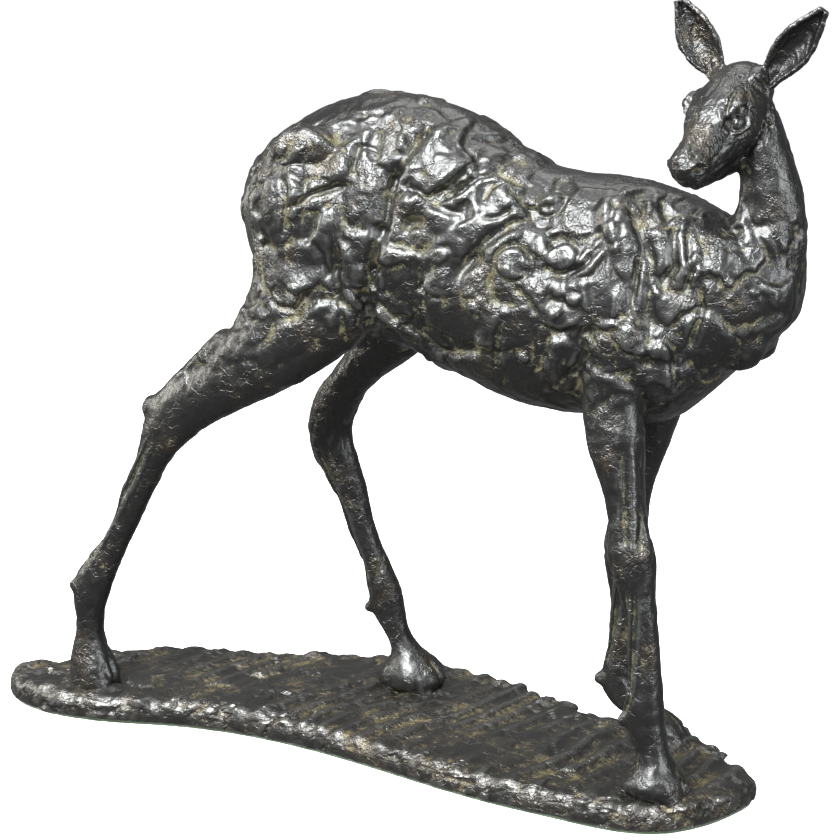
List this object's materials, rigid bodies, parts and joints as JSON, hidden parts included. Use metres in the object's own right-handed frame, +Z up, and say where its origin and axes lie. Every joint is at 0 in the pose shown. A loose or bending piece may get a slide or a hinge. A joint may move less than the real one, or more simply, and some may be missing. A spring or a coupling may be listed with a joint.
{
  "type": "bronze statuette",
  "caption": "Cast bronze statuette of a standing doe looking back over its shoulder, with a rough modelled surface, on a thin rocky base.",
  "frame": {"origin": "on the felt underside of the base, under the middle of the base's outline", "axes": "+X towards the doe's chest, along the base; +Y towards the doe's left side; +Z up"},
  "size_m": [0.4179, 0.1322, 0.367],
  "materials": {
    "patinated_bronze": "near-black patina with polished high spots and ochre green in the hollows",
    "base_bronze": "dark brown patina with ochre patches",
    "steel_fasteners": "plain",
    "felt": "black felt"
  },
  "bodies": {
    "root": {"barrel_casting": "patinated_bronze", "neck_casting": "patinated_bronze", "head_casting": "patinated_bronze", "right_ear": "patinated_bronze", "left_ear": "patinated_bronze", "right_foreleg": "patinated_bronze", "left_foreleg": "patinated_bronze", "right_hind_leg": "patinated_bronze", "left_hind_leg": "patinated_bronze", "leg_joint_pins": "patinated_bronze", "neck_joint_pins": "patinated_bronze", "head_joint_pins": "patinated_bronze", "core_plugs": "patinated_bronze", "base_casting": "base_bronze", "hoof_studs": "steel_fasteners", "hoof_washers": "steel_fasteners", "hoof_nuts": "steel_fasteners", "base_felt": "felt"}
  },
  "joints": []
}
